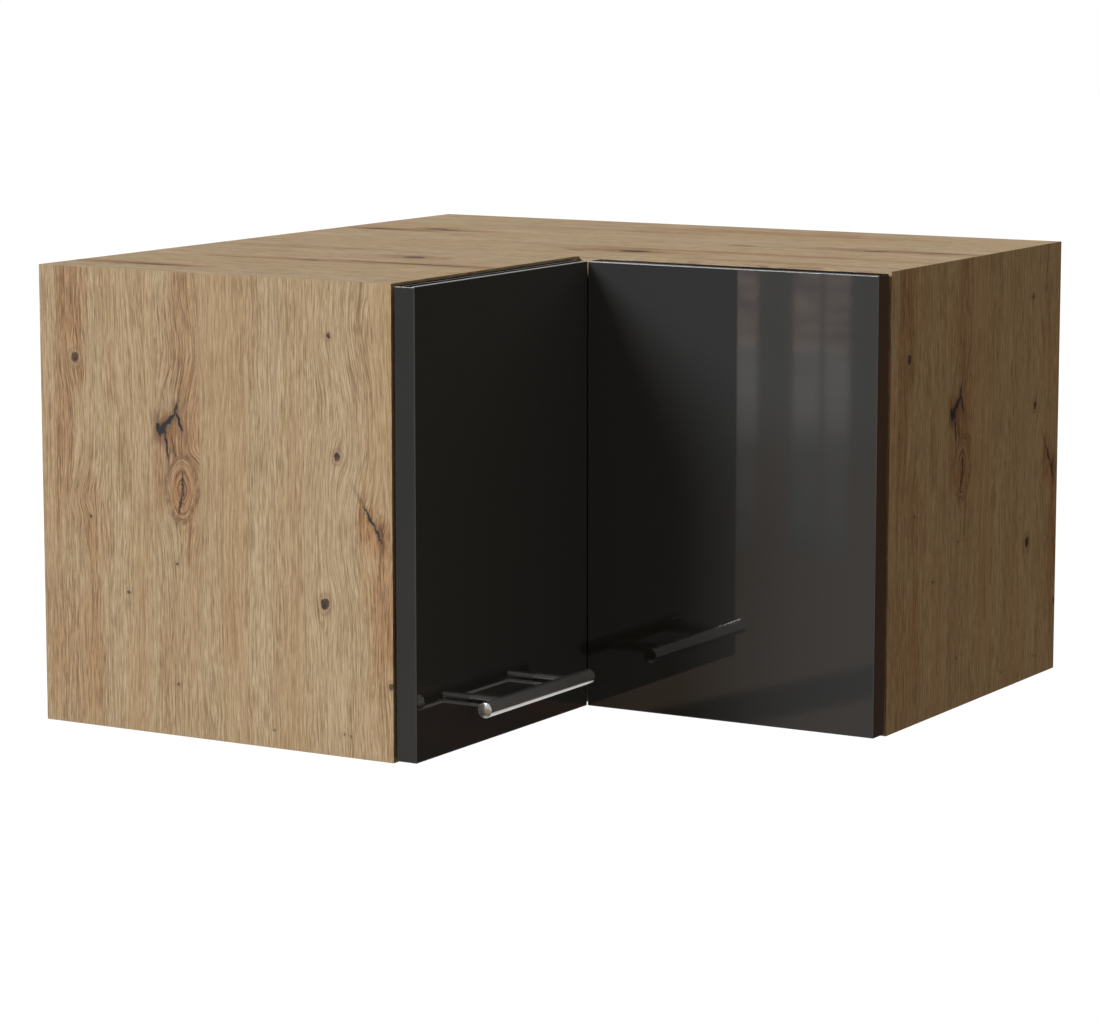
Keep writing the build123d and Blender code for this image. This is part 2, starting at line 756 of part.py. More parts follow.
nodes = {
    "left_side_panel": [left_side_panel()],
    "right_side_panel": [right_side_panel()],
    "top_panel": [top_panel()],
    "bottom_panel": [bottom_panel()],
    "left_back_panel": [left_back_panel()],
    "right_back_panel": [right_back_panel()],
    "back_corner_strip": [back_corner_strip()],
    "dowels": dowels(),
    "cam_bolts": cam_bolts(),
    "cam_locks": cam_locks(),
    "hanger_housings": hanger_housings(),
    "hanger_hooks": hanger_hooks(),
    "hanger_adjusting_screws": hanger_adjusting_screws(),
    "main_hinge_plates": at(main_frames, [mounting_plate(*main_plate)]),
    "main_hinge_plate_screws": at(main_frames, plate_screws(plate_screw_lines(*main_plate))),
    "main_hinge_arms": at(main_frames, [main_arm()]),
    "main_hinge_adjusters": at(main_frames, adjusters(adjuster_lines(*main_plate))),
    "main_hinge_arm_pins": at(main_frames, [hinge_pin(arm_pin_in, arm_pin_out)]),
    "main_hinge_levers": at(main_frames, [hinge_lever()]),
    "main_hinge_cups": at(main_frames, [hinge_cup()]),
    "main_hinge_cup_pins": at(main_frames, [hinge_pin(cup_pin_in, cup_pin_out)]),
    "main_hinge_cup_screws": at(main_frames, cup_screws()),
    "right_door_leaf": [right_door_leaf()],
    "right_door_bumpers": right_door_bumpers(),
    "fold_hinge_plates": at(fold_frames, [mounting_plate(*fold_plate)]),
    "fold_hinge_plate_screws": at(fold_frames, plate_screws(plate_screw_lines(*fold_plate))),
    "fold_hinge_arms": at(fold_frames, [fold_arm()]),
    "fold_hinge_adjusters": at(fold_frames, adjusters(adjuster_lines(*fold_plate))),
    "fold_hinge_arm_pins": at(fold_frames, [hinge_pin(arm_pin_in, arm_pin_out)]),
    "fold_hinge_levers": at(fold_frames, [hinge_lever()]),
    "fold_hinge_cups": at(fold_frames, [hinge_cup()]),
    "fold_hinge_cup_pins": at(fold_frames, [hinge_pin(cup_pin_in, cup_pin_out)]),
    "fold_hinge_cup_screws": at(fold_frames, cup_screws()),
    "left_door_leaf": [left_door_leaf()],
    "left_door_bumpers": left_door_bumpers(),
    "handle_bar": [handle_bar()],
    "handle_posts": handle_posts(),
    "handle_screws": handle_screws(),
}

os.makedirs("parts", exist_ok=True)
for name, pieces in nodes.items():
    solids = [solid for piece in pieces for solid in piece.solids()]
    export_step(Compound(children=solids), f"parts/{name}.step")
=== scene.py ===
import math

import bpy
from mathutils import Matrix, Vector


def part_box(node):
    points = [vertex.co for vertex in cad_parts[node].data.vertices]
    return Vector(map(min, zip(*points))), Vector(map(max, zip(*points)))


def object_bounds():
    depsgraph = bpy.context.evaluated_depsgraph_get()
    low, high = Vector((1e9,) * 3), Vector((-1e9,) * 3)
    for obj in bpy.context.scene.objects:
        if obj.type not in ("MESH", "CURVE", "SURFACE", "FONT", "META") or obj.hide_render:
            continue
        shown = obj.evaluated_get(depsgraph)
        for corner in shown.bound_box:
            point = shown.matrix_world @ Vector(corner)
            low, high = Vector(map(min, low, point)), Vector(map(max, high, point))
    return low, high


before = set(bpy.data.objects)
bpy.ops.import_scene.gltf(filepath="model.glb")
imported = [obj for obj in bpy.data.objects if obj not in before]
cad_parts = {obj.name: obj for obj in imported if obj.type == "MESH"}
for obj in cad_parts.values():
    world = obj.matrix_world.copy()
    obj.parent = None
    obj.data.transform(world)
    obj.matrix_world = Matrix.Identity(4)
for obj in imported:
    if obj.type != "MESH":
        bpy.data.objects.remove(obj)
size_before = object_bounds()


# ---- shader helpers -------------------------------------------------------------------
class Tree:
    """A node tree with short ways to add and join nodes."""

    def __init__(self, tree):
        self.nodes = tree.nodes
        self.links = tree.links

    def put(self, socket, value):
        if isinstance(value, bpy.types.NodeSocket):
            self.links.new(value, socket)
        elif isinstance(value, tuple) and len(value) == 3 and socket.type == "RGBA":
            socket.default_value = (*value, 1.0)
        else:
            socket.default_value = value

    def math(self, op, a, b=0.0, c=0.0, clamp=False):
        node = self.nodes.new("ShaderNodeMath")
        node.operation = op
        node.use_clamp = clamp
        for socket, value in zip(node.inputs, (a, b, c)):
            self.put(socket, value)
        return node.outputs[0]

    def add(self, *values):
        total = values[0]
        for value in values[1:]:
            total = self.math("ADD", total, value)
        return total

    def minus(self, a, b):
        return self.math("SUBTRACT", a, b)

    def times(self, a, b):
        return self.math("MULTIPLY", a, b)

    def line(self, value, slope, start):
        """start where the value is 0, and slope more for each 1 of it."""
        return self.math("MULTIPLY_ADD", value, slope, start)

    def absolute(self, value):
        return self.math("ABSOLUTE", value)

    def blend(self, a, b, share):
        """The given share of a, and b for the rest."""
        return self.line(a, share, self.times(b, 1.0 - share))

    def step(self, value, low, high, out_low=0.0, out_high=1.0):
        """Smooth step: out_low at the value low and past it, out_high at high and past it."""
        node = self.nodes.new("ShaderNodeMapRange")
        node.interpolation_type = "SMOOTHSTEP"
        self.put(node.inputs["Value"], value)
        for name, limit in zip(("From Min", "From Max", "To Min", "To Max"),
                               (low, high, out_low, out_high)):
            self.put(node.inputs[name], limit)
        return node.outputs[0]

    def mix(self, factor, a, b):
        node = self.nodes.new("ShaderNodeMix")
        node.data_type = "RGBA"
        self.put(node.inputs["Factor"], factor)
        self.put(node.inputs["A"], a)
        self.put(node.inputs["B"], b)
        return node.outputs["Result"]

    def vector(self, x, y, z=0.0):
        node = self.nodes.new("ShaderNodeCombineXYZ")
        for socket, value in zip(node.inputs, (x, y, z)):
            self.put(socket, value)
        return node.outputs[0]

    def parts(self, vector):
        node = self.nodes.new("ShaderNodeSeparateXYZ")
        self.put(node.inputs[0], vector)
        return node.outputs

    def coordinates(self, name="Object"):
        return self.nodes.new("ShaderNodeTexCoord").outputs[name]

    def position(self):
        """The place in the room, in metres."""
        return self.parts(self.nodes.new("ShaderNodeNewGeometry").outputs["Position"])

    def ray(self, name):
        """1 for rays of the named kind."""
        return self.nodes.new("ShaderNodeLightPath").outputs[name]

    def noise(self, vector, scale, octaves, rough):
        node = self.nodes.new("ShaderNodeTexNoise")
        node.noise_dimensions = "3D"
        self.put(node.inputs["Vector"], vector)
        self.put(node.inputs["Scale"], scale)
        self.put(node.inputs["Detail"], octaves)
        self.put(node.inputs["Roughness"], rough)
        return node.outputs["Fac"]

    def bump(self, height, strength, distance):
        node = self.nodes.new("ShaderNodeBump")
        self.put(node.inputs["Height"], height)
        self.put(node.inputs["Strength"], strength)
        self.put(node.inputs["Distance"], distance)
        return node.outputs[0]

    def blob(self, across, along, place, radii, turn=0.0, wobble=None):
        """Distance from a blob's centre, 1 on its rim; an ellipse turned by an angle."""
        x = self.minus(across, place[0])
        y = self.minus(along, place[1])
        c, s = math.cos(math.radians(turn)), math.sin(math.radians(turn))
        u = self.line(x, c / radii[0], self.times(y, s / radii[0]))
        v = self.line(y, c / radii[1], self.times(x, -s / radii[1]))
        r = self.math("SQRT", self.line(u, u, self.times(v, v)))
        return r if wobble is None else self.add(r, wobble)

    def shader(self, kind, **inputs):
        node = self.nodes.new(kind)
        for name, value in inputs.items():
            self.put(node.inputs[name], value)
        return node.outputs[0]

    def either(self, factor, first, second):
        """The first shader where the factor is 0, the second where it is 1."""
        node = self.nodes.new("ShaderNodeMixShader")
        for socket, value in zip(node.inputs, (factor, first, second)):
            self.put(socket, value)
        return node.outputs[0]

    def show(self, shader, output="ShaderNodeOutputMaterial"):
        self.links.new(shader, self.nodes.new(output).inputs["Surface"])


def fresh(slot):
    """The tree and the shader of one of the record's slots, emptied."""
    material = bpy.data.materials[slot]
    material.use_nodes = True
    material.node_tree.nodes.clear()
    tree = Tree(material.node_tree)
    shader = tree.nodes.new("ShaderNodeBsdfPrincipled")
    tree.show(shader.outputs[0])
    return tree, shader


def dress(tree, shader, color, rough, normal, **others):
    """Put colour, roughness, relief and any other inputs on a slot's shader."""
    tree.put(shader.inputs["Base Color"], color)
    tree.put(shader.inputs["Roughness"], rough)
    tree.put(shader.inputs["Normal"], normal)
    for name, value in others.items():
        tree.put(shader.inputs[name.replace("_", " ")], value)


# ---- oak decor: the print's marks -----------------------------------------------------
# The marks' places are millimetres across and along the printed sheet. Knots, cracks,
# stains, rings and rims are (across, along, half width, half length, turn in degrees,
# strength). Bends part the grain round a knot and tilts slant it: (across, along, half
# width, half length, pull). Joins are where the sheet's printed strips meet.
UPRIGHT = {
    "knots": [(33.6, 289.3, 3.6, 4.2, 10, 1.0), (269.3, 318.4, 2.0, 2.2, 0, 1.0),
              (276.4, 228.1, 2.8, 3.2, 20, 1.0), (264.4, 115.7, 3.6, 4.4, -15, 1.0),
              (323.4, 58.1, 2.0, 2.6, 0, 0.9), (46.2, 165.7, 1.2, 1.4, 0, 0.8),
              (81.7, 108.8, 1.4, 1.6, 0, 0.9), (128.0, 134.7, 1.5, 1.5, 0, 0.8),
              (128.2, 40.8, 1.2, 1.4, 0, 0.9), (216.7, 14.0, 1.1, 1.1, 0, 0.7),
              (281.5, 17.1, 1.0, 1.0, 0, 0.7), (286.9, 16.1, 1.0, 1.1, 0, 0.7)],
    "cracks": [(112.5, 238.0, 2.2, 6.0, 20, 1.0), (121.0, 244.0, 2.2, 11.0, -46, 1.0),
               (116.0, 238.5, 3.0, 4.4, -20, 1.0), (128.6, 254.0, 0.9, 8.0, -18, 0.9),
               (132.0, 245.0, 1.5, 9.0, 22, 1.0), (119.8, 228.0, 1.1, 14.0, 6, 1.0),
               (126.0, 226.0, 0.7, 9.0, 14, 0.6), (134.6, 197.0, 1.0, 11.0, 2, 0.9),
               (132.0, 181.0, 0.8, 9.0, -12, 0.9), (306.4, 182.5, 1.0, 14.0, 33, 1.0),
               (313.0, 171.0, 0.8, 7.0, 28, 0.9), (316.0, 174.0, 0.7, 6.0, 8, 0.7)],
    "stains": [(121.5, 237.0, 14.0, 19.0, 0, 0.95), (134.0, 192.0, 15.0, 28.0, 0, 0.90),
               (138.0, 230.0, 16.0, 86.0, -2, 0.66), (131.0, 320.0, 20.0, 64.0, -5, 0.50),
               (113.0, 205.0, 7.0, 36.0, 0, 0.62), (310.0, 172.0, 14.0, 27.0, 24, 0.85),
               (318.0, 110.0, 14.0, 64.0, 0, 0.62), (22.0, 240.0, 14.0, 78.0, 0, 0.55),
               (30.0, 330.0, 15.0, 48.0, 0, 0.66), (35.0, 280.0, 9.0, 17.0, 0, 0.60),
               (44.0, 168.0, 20.0, 46.0, 14, 0.42), (36.0, 60.0, 30.0, 66.0, -6, 0.40),
               (180.0, 95.0, 12.0, 35.0, 0, 0.22), (266.0, 112.0, 6.0, 9.0, 0, 0.30),
               (128.0, 131.0, 7.0, 16.0, 0, 0.26), (124.0, 60.0, 14.0, 60.0, 0, 0.26),
               (200.0, 330.0, 10.0, 60.0, 0, 0.20), (300.0, 290.0, 12.0, 60.0, 0, 0.22)],
    "rings": [(134.0, 192.0, 14.0, 25.0, 0, 1.0)],
    "rims": [(134.0, 192.0, 14.5, 26.0, 0, 0.65), (33.6, 288.5, 6.2, 7.8, 0, 0.25),
             (276.4, 228.1, 4.8, 6.0, 0, 0.22), (264.4, 115.7, 6.2, 7.6, 0, 0.28)],
    "bends": [(120.5, 238.0, 14.0, 30.0, 0.60), (134.0, 192.0, 24.0, 44.0, 0.75),
              (33.6, 289.3, 13.0, 24.0, 0.70), (269.3, 318.4, 10.0, 20.0, 0.60),
              (276.4, 228.1, 12.0, 26.0, 0.60), (310.0, 177.0, 26.0, 54.0, 0.60),
              (264.4, 115.7, 14.0, 28.0, 0.70)],
    "tilts": [(140.0, 270.0, 16.0, 44.0, -0.42), (118.0, 262.0, 10.0, 16.0, 0.35),
              (142.0, 216.0, 9.0, 12.0, 0.85), (40.0, 200.0, 16.0, 40.0, -0.18),
              (285.0, 290.0, 30.0, 60.0, 0.22), (36.0, 172.0, 12.0, 12.0, 0.32)],
    "joins": [108.0, 151.0],
}
LENGTHWISE = {
    "knots": [(126.2, -267.8, 5.0, 9.0, 0, 0.65), (148.4, -217.0, 5.0, 12.0, 0, 0.80),
              (142.0, -200.0, 4.0, 10.0, 0, 0.70), (-100.6, -81.5, 7.5, 9.0, 0, 0.80),
              (37.0, 41.5, 9.0, 13.0, 0, 0.82), (24.3, -6.9, 4.0, 9.0, 0, 0.55),
              (133.3, 209.2, 5.0, 11.0, 0, 0.65), (-163.3, -138.6, 4.0, 8.0, 0, 0.65),
              (127.5, 92.3, 4.0, 11.0, 0, 0.60)],
    "cracks": [(-253.0, -227.9, 2.4, 26.0, 4, 0.6), (37.5, 39.0, 2.4, 12.0, 12, 1.0),
               (140.3, 264.3, 2.4, 24.0, -3, 0.7), (-153.3, -33.5, 2.6, 34.0, 0, 0.7),
               (128.5, -255.0, 2.4, 22.0, 2, 0.8)],
    "stains": [(-253.0, -228.0, 13.0, 70.0, 0, 0.85), (37.0, 35.0, 16.0, 60.0, 0, 0.75),
               (-153.0, -40.0, 12.0, 90.0, 0, 0.85), (60.0, 120.0, 10.0, 180.0, 0, 0.75),
               (137.0, 230.0, 14.0, 85.0, 0, 0.80), (128.0, -250.0, 13.0, 55.0, 0, 0.75),
               (146.0, -205.0, 11.0, 44.0, 0, 0.80), (-101.0, -80.0, 16.0, 40.0, 0, 0.50),
               (-165.0, -160.0, 11.0, 100.0, 0, 0.65), (250.0, 60.0, 16.0, 160.0, 0, 0.50),
               (215.0, -90.0, 14.0, 130.0, 0, 0.50), (-60.0, -230.0, 16.0, 80.0, 0, 0.42),
               (0.0, 190.0, 9.0, 100.0, 0, 0.60)],
    "rings": [(37.0, 41.5, 12.0, 22.0, 0, 1.0), (-101.0, -81.0, 9.0, 16.0, 0, 1.0)],
    "rims": [(37.0, 41.5, 8.0, 13.0, 0, 0.6), (-100.6, -81.5, 6.0, 9.0, 0, 0.5),
             (146.0, -208.0, 8.0, 20.0, 0, 0.4)],
    "bends": [(37.0, 41.5, 14.0, 34.0, 0.75), (-100.6, -81.5, 12.0, 26.0, 0.70),
              (146.0, -208.0, 10.0, 26.0, 0.65), (126.2, -267.8, 8.0, 20.0, 0.60),
              (133.3, 209.2, 9.0, 26.0, 0.60)],
    "tilts": [(60.0, 150.0, 20.0, 60.0, 0.20), (-180.0, -60.0, 30.0, 80.0, -0.15)],
    "joins": [-170.0, 20.0],
}


# ---- oak decor: the print's grain and colours -----------------------------------------
MM = 1000.0              # millimetres in a metre
JOIN_SOFTNESS = 0.7      # half the width of a join, in millimetres
STRIP_JUMP = 500.0       # moves the grain of the strip past a join, so that its lines end there

# The noises of the print: width and length of a grain in millimetres, shift, octaves, roughness
SWAY = (83.0, 310.0, 0, 3.0, 0.55)
WANDER = (17.0, 62.0, 3, 3.0, 0.55)
MOTTLE = (2.6, 6.5, 31, 3.0, 0.55)
TEAR_ACROSS = (3.0, 5.0, 41, 3.0, 0.55)
TEAR_ALONG = (4.0, 5.0, 43, 3.0, 0.55)
PATCHES = (9.0, 60.0, 47, 3.0, 0.55)
FIBRE = (0.55, 15.0, 11, 2.0, 0.60)
THREAD = (1.10, 62.0, 17, 2.0, 0.65)
FURROW = (4.2, 170.0, 19, 2.0, 0.60)
CREASE = (2.3, 110.0, 21, 1.0, 0.60)
STREAK = (7.0, 240.0, 23, 3.0, 0.60)
BAND = (38.0, 700.0, 29, 3.0, 0.50)
PORES = (0.8, 8.0, 37, 1.0, 0.40)

# How far the noises move the line of the grain and the edges of the marks, in millimetres
SWAY_BY, WANDER_BY = 22.0, 4.0
TEAR_ACROSS_BY, TEAR_ALONG_BY = 4.0, 6.0
# How far the wander moves the outlines of rings and rims, in shares of their radii
RING_WOBBLE, RIM_WOBBLE = 0.5, 0.8

# Limits between which a thing comes in, and its strength at both where they say so: for
# noises they are the noise's own value, for marks shares of their radii
FURROW_LINE, CREASE_LINE = (0.060, 0.010), (0.070, 0.010)
PATCH_LIMITS = (-0.06, 0.12, 0.10, 1.0)
DARK_TO_MID, MID_TO_PALE = (0.0, 0.55), (0.50, 1.0)
TAN_BANDS, SAND_BANDS = (0.10, -0.16, 0.0, 0.40), (0.02, 0.20, 0.0, 0.30)
STAIN_TONES = (0.0, 0.95)
RING_EDGE, STAIN_EDGE = (1.10, 0.92), (1.30, 0.45)
RIM_EDGE, RIM_BREAKS = (0.16, 0.02), (0.14, -0.08, 0.05)
KNOT_HALO, KNOT_EDGE = (2.6, 1.2), (1.15, 0.80)
KNOT_RING_OUTER, KNOT_RING_INNER = (1.65, 1.30), (1.0, 1.25)
HEART_TONES = (-0.14, 0.14)
CRACK_HALO, CRACK_EDGE = (3.4, 1.0), (1.15, 0.70)
PORE_LIMITS = (0.17, 0.30, 0.0, 0.45)

# Weights of the layers in the tone, in the ragged edge of the stains and in the relief
CREASE_SHARE = 0.75
TONE_LEVEL = 0.62
TONE = {"fibre": 2.8, "thread": 2.2, "streak": 0.6, "mottle": 0.35, "lines": -0.26}
RAGGED = {"mottle": 0.7, "streak": 1.4, "thread": 0.7}
RIM_MOTTLE = 0.8
RELIEF_LEVEL = 0.5
RELIEF = {"fibre": 0.6, "thread": 0.9, "lines": -0.35, "crack": -0.6}
KNOT_HALO_STRENGTH, KNOT_RING_STRENGTH, CRACK_HALO_STRENGTH = 0.48, 0.28, 0.42

OAK_DARK, OAK_MID, OAK_PALE = (0.235, 0.158, 0.086), (0.400, 0.295, 0.178), (0.530, 0.420, 0.282)
OAK_TAN, OAK_SAND = (0.400, 0.256, 0.134), (0.440, 0.350, 0.236)
STAIN_DARK, STAIN_PALE = (0.125, 0.055, 0.024), (0.420, 0.236, 0.114)
RIM_BROWN = (0.125, 0.062, 0.030)
KNOT_HALO_BROWN, KNOT_RING_PALE = (0.190, 0.108, 0.056), (0.480, 0.370, 0.270)
HEART_DARK, HEART_BROWN = (0.024, 0.015, 0.012), (0.090, 0.048, 0.032)
CRACK_HALO_BROWN, CRACK_BLACK = (0.120, 0.064, 0.036), (0.012, 0.011, 0.014)
PORE_BROWN = (0.215, 0.132, 0.072)


class Print:
    """Oak print as a group: place on the sheet in, colour and relief out."""

    def __init__(self, name, sheet, shift):
        self.sheet = sheet
        self.shift = shift
        self.group = bpy.data.node_groups.new(name, "ShaderNodeTree")
        for label, kind, way in (("Across", "NodeSocketFloat", "INPUT"),
                                 ("Along", "NodeSocketFloat", "INPUT"),
                                 ("Color", "NodeSocketColor", "OUTPUT"),
                                 ("Height", "NodeSocketFloat", "OUTPUT")):
            self.group.interface.new_socket(label, in_out=way, socket_type=kind)
        t = self.t = Tree(self.group)
        given = t.nodes.new("NodeGroupInput")
        self.across = t.times(given.outputs["Across"], MM)
        self.along = t.times(given.outputs["Along"], MM)
        self.past = [(place, t.step(self.across, place - JOIN_SOFTNESS, place + JOIN_SOFTNESS))
                     for place in sheet["joins"]]
        self.wander = self.noise(WANDER)
        self.grain = self.grain_line()
        self.layers = self.grain_layers()
        self.tone = t.math("ADD", self.sum_of(TONE, TONE_LEVEL), 0.0, clamp=True)
        self.torn = self.torn_sheet()

        color = self.stained(self.bare())
        color = self.knotted(self.rimmed(color))
        color = self.cracked(color)
        pores = t.step(self.noise(PORES, self.grain), *PORE_LIMITS)
        result = t.nodes.new("NodeGroupOutput")
        t.put(result.inputs["Color"], t.mix(pores, color, PORE_BROWN))
        t.put(result.inputs["Height"], self.sum_of(RELIEF, RELIEF_LEVEL))

    def noise(self, kind, across=None):
        """Noise about zero, straight on the sheet or along the grain's line given as across."""
        wide, high, shift, octaves, rough = kind
        t = self.t
        across = self.across if across is None else across
        place = t.vector(t.times(across, 1.0 / wide), t.times(self.along, 1.0 / high),
                         self.shift + shift)
        return t.minus(t.noise(place, 1.0, octaves, rough), 0.5)

    def sum_of(self, shares, level=0.0):
        return self.t.add(level, *(self.t.times(self.layers[name], share)
                                   for name, share in shares.items()))

    def marks(self, kind, across, along, wobble=None):
        """Each mark of a kind, as the distance from its centre, with its strength."""
        for a, b, wide, high, turn, strength in self.sheet[kind]:
            yield self.t.blob(across, along, (a, b), (wide, high), turn, wobble), strength

    def in_strip(self, value, place):
        """The value in the strip that holds the place across the sheet, nothing beyond it."""
        for join, beyond in self.past:
            side = beyond if place > join else self.t.minus(1.0, beyond)
            value = self.t.times(value, side)
        return value

    def grain_line(self):
        """The line of the grain: it wanders, parts round the knots and closes into ovals."""
        t = self.t
        line = t.add(self.across, t.times(self.noise(SWAY), SWAY_BY),
                     t.times(self.wander, WANDER_BY))
        for _, beyond in self.past:
            line = t.add(line, t.times(beyond, STRIP_JUMP))
        for kind in ("bends", "tilts"):
            for a, b, wide, high, pull in self.sheet[kind]:
                r = t.blob(self.across, self.along, (a, b), (wide, high))
                fall = self.in_strip(t.math("EXPONENT", t.times(t.times(r, r), -1.0)), a)
                away = t.minus(a, self.across) if kind == "bends" else t.minus(self.along, b)
                line = t.add(line, t.times(t.times(away, fall), pull))
        for a, b, wide, high, turn, strength in self.sheet["rings"]:
            wobble = t.times(self.wander, RING_WOBBLE)
            r = t.blob(self.across, self.along, (a, b), (wide, high), turn, wobble)
            inside = self.in_strip(t.step(r, *RING_EDGE, 0.0, strength), a)
            line = t.add(line, t.times(t.minus(t.times(r, wide), line), inside))
        return line

    def grain_layers(self):
        t = self.t
        layers = {"fibre": self.noise(FIBRE, self.grain), "thread": self.noise(THREAD, self.grain),
                  "streak": self.noise(STREAK, self.grain), "mottle": self.noise(MOTTLE)}
        furrows = t.step(t.absolute(self.noise(FURROW, self.grain)), *FURROW_LINE)
        furrows = t.times(furrows, t.step(self.noise(PATCHES), *PATCH_LIMITS))
        creases = t.step(t.absolute(self.noise(CREASE, self.grain)), *CREASE_LINE)
        layers["lines"] = t.add(furrows, t.times(creases, CREASE_SHARE))
        return layers

    def bare(self):
        """The wood's own colour, in broad tan and sand bands."""
        t = self.t
        band = self.noise(BAND, self.grain)
        color = t.mix(t.step(self.tone, *DARK_TO_MID), OAK_DARK, OAK_MID)
        color = t.mix(t.step(self.tone, *MID_TO_PALE), color, OAK_PALE)
        color = t.mix(t.step(band, *TAN_BANDS), color, OAK_TAN)
        return t.mix(t.step(band, *SAND_BANDS), color, OAK_SAND)

    def stained(self, color):
        """Brown heartwood colour in columns and round the knots, feathered along the grain."""
        t = self.t
        ragged = self.sum_of(RAGGED)
        stain = 0.0
        for a, b, wide, high, turn, strength in self.sheet["stains"]:
            r = t.blob(self.across, self.along, (a, b), (wide, high), turn, ragged)
            spread = self.in_strip(t.step(r, *STAIN_EDGE, 0.0, strength), a)
            stain = t.math("MAXIMUM", stain, spread)
        return t.mix(stain, color, t.mix(t.step(self.tone, *STAIN_TONES), STAIN_DARK, STAIN_PALE))

    def rimmed(self, color):
        """Broken brown outlines round the knots."""
        t = self.t
        breaks = t.add(self.layers["thread"], t.times(self.layers["mottle"], RIM_MOTTLE))
        wobble = t.times(self.wander, RIM_WOBBLE)
        for r, strength in self.marks("rims", self.across, self.along, wobble):
            away = t.absolute(t.minus(r, 1.0))
            broken = t.step(breaks, *RIM_BREAKS, strength)
            color = t.mix(t.times(t.step(away, *RIM_EDGE), broken), color, RIM_BROWN)
        return color

    def torn_sheet(self):
        """Both coordinates, made ragged for the edges of knots and cracks."""
        t = self.t
        return (t.add(self.across, t.times(self.noise(TEAR_ACROSS), TEAR_ACROSS_BY)),
                t.add(self.along, t.times(self.noise(TEAR_ALONG), TEAR_ALONG_BY)))

    def knotted(self, color):
        """Knots: a brown halo, a pale ring and a dark heart."""
        t = self.t
        knot = 0.0
        for r, strength in self.marks("knots", *self.torn):
            halo = t.step(r, *KNOT_HALO, 0.0, KNOT_HALO_STRENGTH * strength)
            color = t.mix(halo, color, KNOT_HALO_BROWN)
            ring = t.times(t.step(r, *KNOT_RING_OUTER), t.step(r, *KNOT_RING_INNER))
            color = t.mix(t.times(ring, KNOT_RING_STRENGTH * strength), color, KNOT_RING_PALE)
            knot = t.math("MAXIMUM", knot, t.step(r, *KNOT_EDGE, 0.0, strength))
        heart = t.mix(t.step(self.layers["mottle"], *HEART_TONES), HEART_DARK, HEART_BROWN)
        return t.mix(knot, color, heart)

    def cracked(self, color):
        """Black cracks in a brown halo; they are a layer of the relief too."""
        t = self.t
        crack = 0.0
        for r, strength in self.marks("cracks", *self.torn):
            halo = t.step(r, *CRACK_HALO, 0.0, CRACK_HALO_STRENGTH * strength)
            color = t.mix(halo, color, CRACK_HALO_BROWN)
            crack = t.math("MAXIMUM", crack, t.step(r, *CRACK_EDGE, 0.0, strength))
        self.layers["crack"] = crack
        return t.mix(crack, color, CRACK_BLACK)

    def on(self, tree, across, along):
        """Colour and relief of the print in another tree, at a place in metres."""
        node = tree.nodes.new("ShaderNodeGroup")
        node.node_tree = self.group
        tree.put(node.inputs["Across"], across)
        tree.put(node.inputs["Along"], along)
        return node.outputs["Color"], node.outputs["Height"]


upright = Print("oak_upright", UPRIGHT, 1.0)
lengthwise = Print("oak_lengthwise", LENGTHWISE, 7.0)

TOP_LEVEL = size_before[1][2]
TURN = (0.6, 0.8)        # of a normal's part: where a face gives way to the next one
DECOR_ROUGH, DECOR_POLISH, DECOR_SPECULAR = 0.62, -0.12, 0.35
DECOR_RELIEF = (0.35, 0.0004)


def board(slot, start=None):
    """Decor board, printed on its faces and on the bands of its edges.

    An upright board's print begins on its left edge, seen from outside, where x + y is
    start. A flat board has no start.
    """
    t, shader = fresh(slot)
    x, y, z = t.parts(t.coordinates())
    nx, _, nz = t.parts(t.coordinates("Normal"))
    flat = lengthwise.on(t, t.add(y, z, -TOP_LEVEL), x)
    if start is None:
        face, edge = flat, lengthwise.on(t, t.add(z, x), y)
        on_edge = t.step(t.absolute(nx), *TURN)
    else:
        face, edge = upright.on(t, t.add(x, y, -start), z), flat
        on_edge = t.step(t.absolute(nz), *TURN)
    color, height = (t.mix(on_edge, a, b) for a, b in zip(face, edge))
    dress(t, shader, color, t.line(height, DECOR_POLISH, DECOR_ROUGH),
          t.bump(height, *DECOR_RELIEF), Specular_IOR_Level=DECOR_SPECULAR)


left_low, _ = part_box("left_side_panel")
right_low, right_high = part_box("right_side_panel")
board("left_side_decor", left_low.x + left_low.y)
board("right_side_decor", right_high.x + right_low.y)
board("top_decor")
board("bottom_decor")


# ---- door leaves ----------------------------------------------------------------------
# From here on a noise is (scale, octaves, roughness), without the scale where each slot
# gives its own; these are its limits between which a material changes tone
BROAD_SPREAD, MID_SPREAD, FINE_SPREAD = (0.30, 0.70), (0.35, 0.65), (0.36, 0.64)

# How far behind the front the painted highlight rim on the upper edge ends and the painted
# highlight line runs, and their soft edges
RIM_HIGHLIGHT_DEPTH, RIM_HIGHLIGHT_SOFT = 0.0022, 0.0004
HIGHLIGHT_LINE_DEPTH, HIGHLIGHT_LINE_OUTER, HIGHLIGHT_LINE_INNER = 0.0100, 0.0005, 0.0002
# Of the normal: where the back, the front and the upper edge come in
LEAF_BACK, LEAF_FRONT, LEAF_TOP = (-0.7, -0.9), (0.3, 0.6), (0.55, 0.75)
FLOW, SPECK, PEEL = (22.0, 2.0, 0.5), (2400.0, 2.0, 0.6), (260.0, 2.0, 0.5)
LACQUER = ((0.0312, 0.0329, 0.0352), (0.0340, 0.0359, 0.0382))
FOIL = ((0.050, 0.050, 0.049), (0.064, 0.063, 0.061))
# Black of the upper edge: painted dark reflection
TOP_DARK_REFLECTION = (0.010, 0.010, 0.010)
# Pale tones of the rim and line on the upper edge: painted highlight
RIM_HIGHLIGHT_TONES = ((0.40, 0.40, 0.42), (0.50, 0.50, 0.52))
